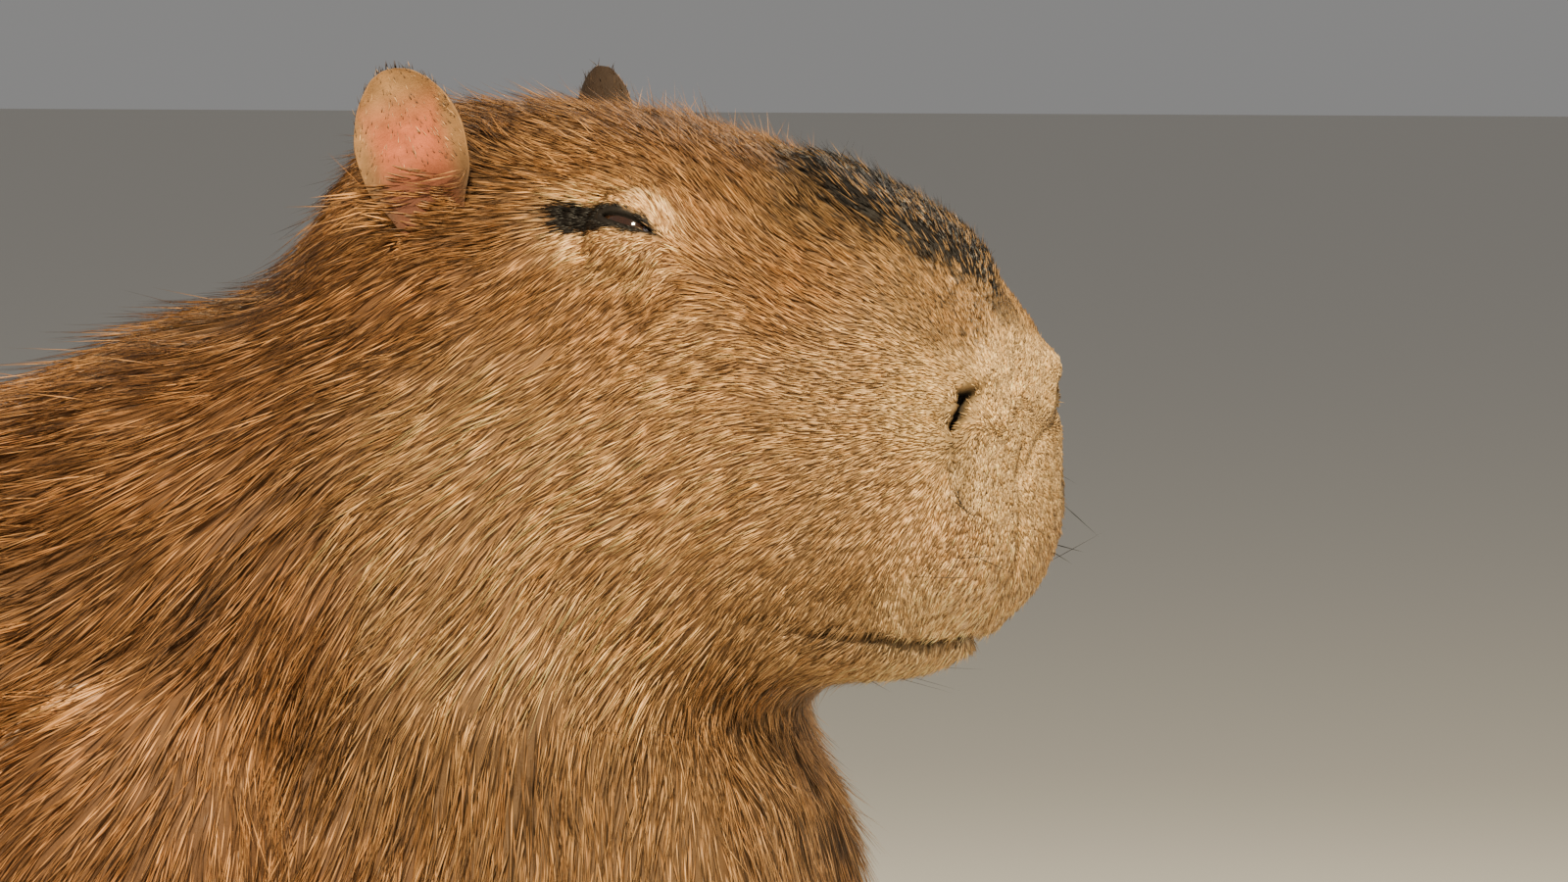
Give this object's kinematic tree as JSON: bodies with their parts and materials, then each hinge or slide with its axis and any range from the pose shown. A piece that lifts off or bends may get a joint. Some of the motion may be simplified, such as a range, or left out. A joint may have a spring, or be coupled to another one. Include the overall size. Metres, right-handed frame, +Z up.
{
  "type": "capybara, resting, life-size animal model",
  "caption": "Life-size still model of an adult capybara that rests on its belly with its head up, its legs folded beside it and its coarse coat lying back.",
  "frame": {"origin": "on the floor, under the middle of the box round the whole animal", "axes": "+X the way the body faces, +Y the animal's left, +Z up"},
  "size_m": [1.0192, 0.4616, 0.4369],
  "materials": {
    "body_coat": "coarse reddish brown hair with golden tan tips",
    "face_coat": "short dense tan hair, greyer on the lips",
    "limb_coat": "short dark brown hair over dark skin",
    "ear_skin": "thin pinkish skin with sparse short hair",
    "bare_skin": "bare near-black skin with a slight gloss",
    "eye": "wet, very dark brown eye",
    "horn": "blunt dark horn"
  },
  "bodies": {
    "root": {"head": "face_coat", "lower_jaw": "face_coat", "snout_gland": "bare_skin", "eye_right": "eye", "eye_left": "eye", "ear_right": "ear_skin", "ear_left": "ear_skin", "neck": "body_coat", "torso": "body_coat", "upper_arm_right": "body_coat", "upper_arm_left": "body_coat", "forearm_right": "body_coat", "forearm_left": "body_coat", "forefoot_right": "limb_coat", "forefoot_left": "limb_coat", "thigh_right": "body_coat", "thigh_left": "body_coat", "shank_right": "body_coat", "shank_left": "body_coat", "hindfoot_right": "limb_coat", "hindfoot_left": "limb_coat", "claw_fore_1_right": "horn", "claw_fore_2_right": "horn", "claw_fore_3_right": "horn", "claw_fore_4_right": "horn", "claw_fore_1_left": "horn", "claw_fore_2_left": "horn", "claw_fore_3_left": "horn", "claw_fore_4_left": "horn", "claw_hind_1_right": "horn", "claw_hind_2_right": "horn", "claw_hind_3_right": "horn", "claw_hind_1_left": "horn", "claw_hind_2_left": "horn", "claw_hind_3_left": "horn"}
  },
  "joints": []
}
